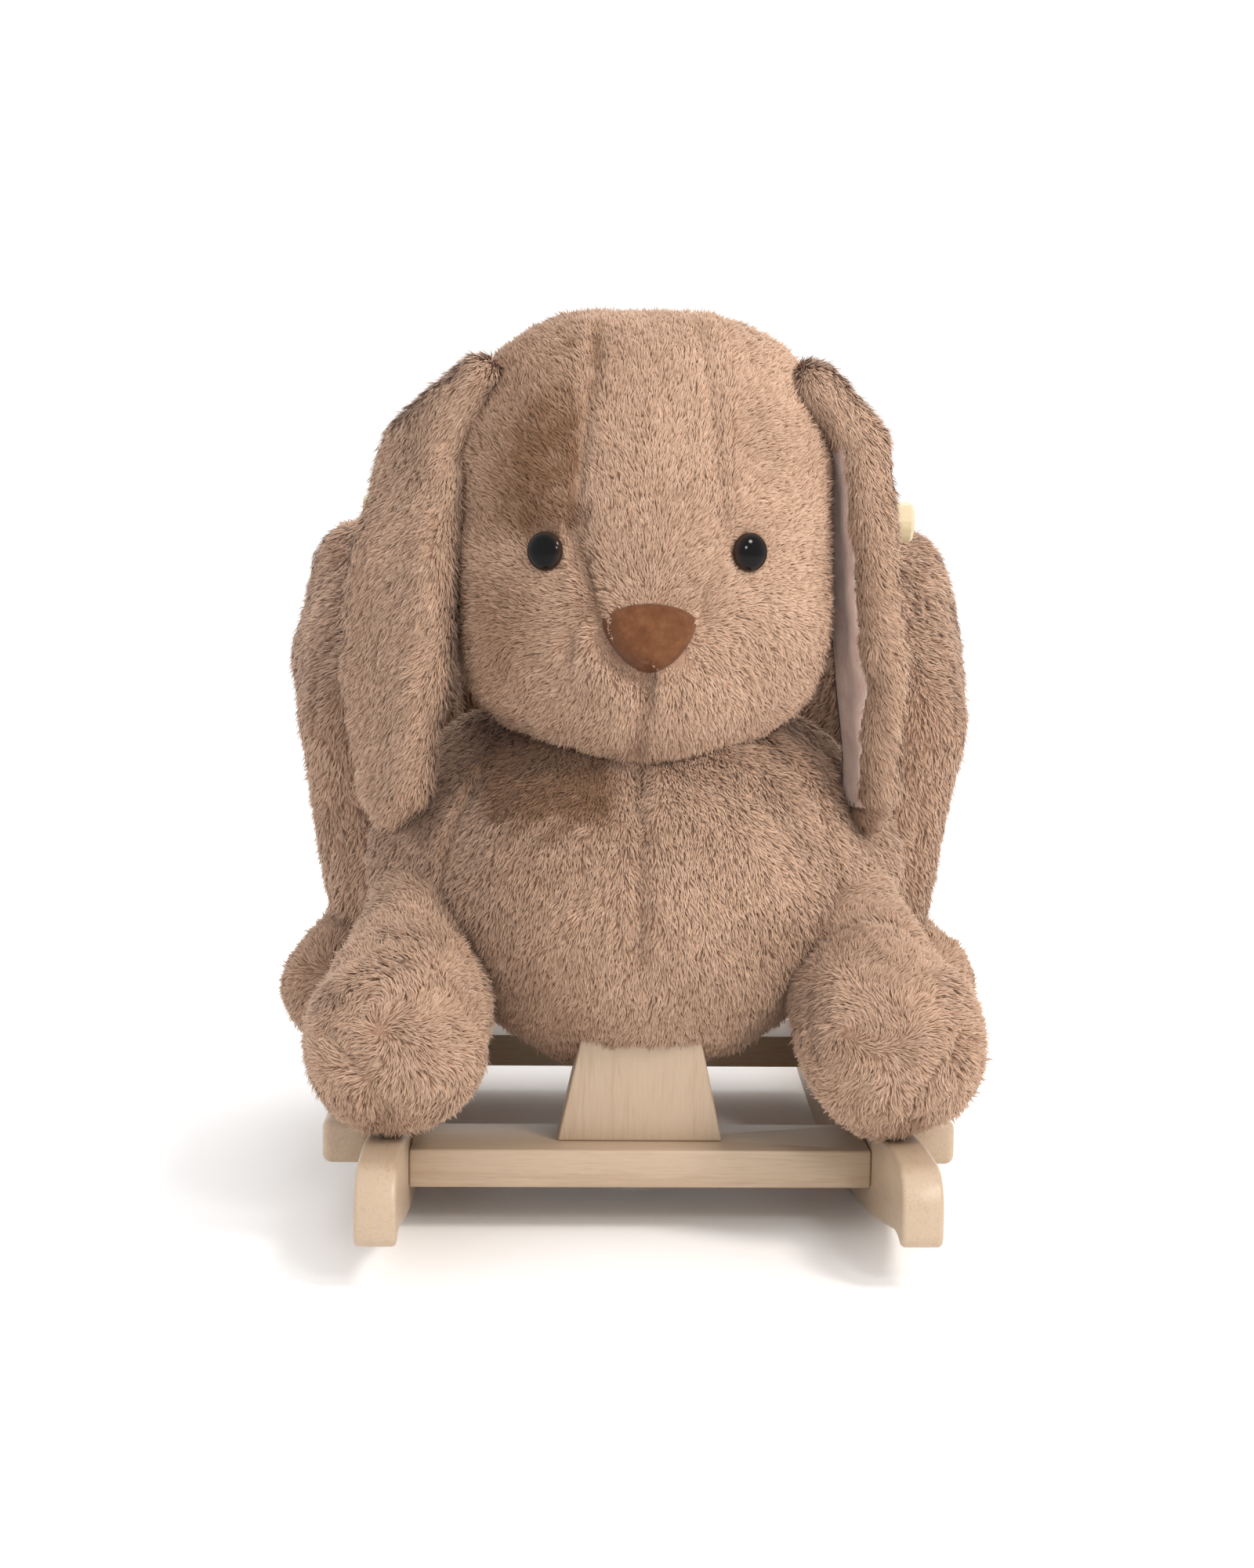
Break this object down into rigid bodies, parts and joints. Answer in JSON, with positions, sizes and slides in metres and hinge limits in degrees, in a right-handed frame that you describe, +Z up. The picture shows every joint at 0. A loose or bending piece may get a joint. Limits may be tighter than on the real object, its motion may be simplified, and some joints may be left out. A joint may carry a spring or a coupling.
{
  "type": "plush rabbit rocker",
  "caption": "Ride-on plush rabbit with a padded armchair seat and a dowel handle through its head, standing on a wooden rocker base with footrests.",
  "frame": {"origin": "on the floor under the middle of the rockers' length and width", "axes": "+X to the viewer's right when the rabbit faces the viewer, -Y the way the rabbit looks, +Z up"},
  "size_m": [0.458, 0.5842, 0.5301],
  "materials": {
    "pale_hardwood": "clear satin lacquer",
    "birch_plywood": "unfinished, hidden in the plush",
    "steel": "plain",
    "plush": "short dense pile with frosted tips, fibre filling",
    "ear_lining": "short velour",
    "suede": "brushed suede cloth",
    "eye_plastic": "gloss",
    "washer_plastic": "hidden"
  },
  "bodies": {
    "rocker": {"rocker_right": "pale_hardwood", "rocker_left": "pale_hardwood", "front_cross_bar": "pale_hardwood", "rear_cross_bar": "pale_hardwood", "front_support_board": "pale_hardwood", "rear_support_board": "pale_hardwood", "footrest_right": "pale_hardwood", "footrest_left": "pale_hardwood", "seat_board": "birch_plywood", "side_panel_right": "birch_plywood", "side_panel_left": "birch_plywood", "back_panel": "birch_plywood", "head_post": "pale_hardwood", "handle": "pale_hardwood", "handle_screw": "steel", "rocker_screws": "steel", "footrest_screws": "steel", "support_screws": "steel", "seat_board_screws": "steel", "panel_screws": "steel", "torso": "plush", "head": "plush", "nose_patch": "suede", "eye_right": "eye_plastic", "eye_left": "eye_plastic", "eye_washers": "washer_plastic", "foreleg_right": "plush", "foreleg_left": "plush", "hind_foot_right": "plush", "hind_foot_left": "plush", "wing_right": "plush", "wing_left": "plush", "backrest": "plush", "seat_cushion": "plush", "tail": "plush"},
    "ear_right": {"ear_right": "plush", "ear_lining_right": "ear_lining"},
    "ear_left": {"ear_left": "plush", "ear_lining_left": "ear_lining"}
  },
  "joints": [
    {"name": "ear_right_swing", "type": "hinge", "parent": "rocker", "child": "ear_right", "pos_m": [-0.09632, -0.1, 0.4862], "axis": [0, 1, 0], "range_deg": [0, 70]},
    {"name": "ear_left_swing", "type": "hinge", "parent": "rocker", "child": "ear_left", "pos_m": [0.09632, -0.1, 0.4862], "axis": [0, -1, 0], "range_deg": [0, 70]}
  ]
}
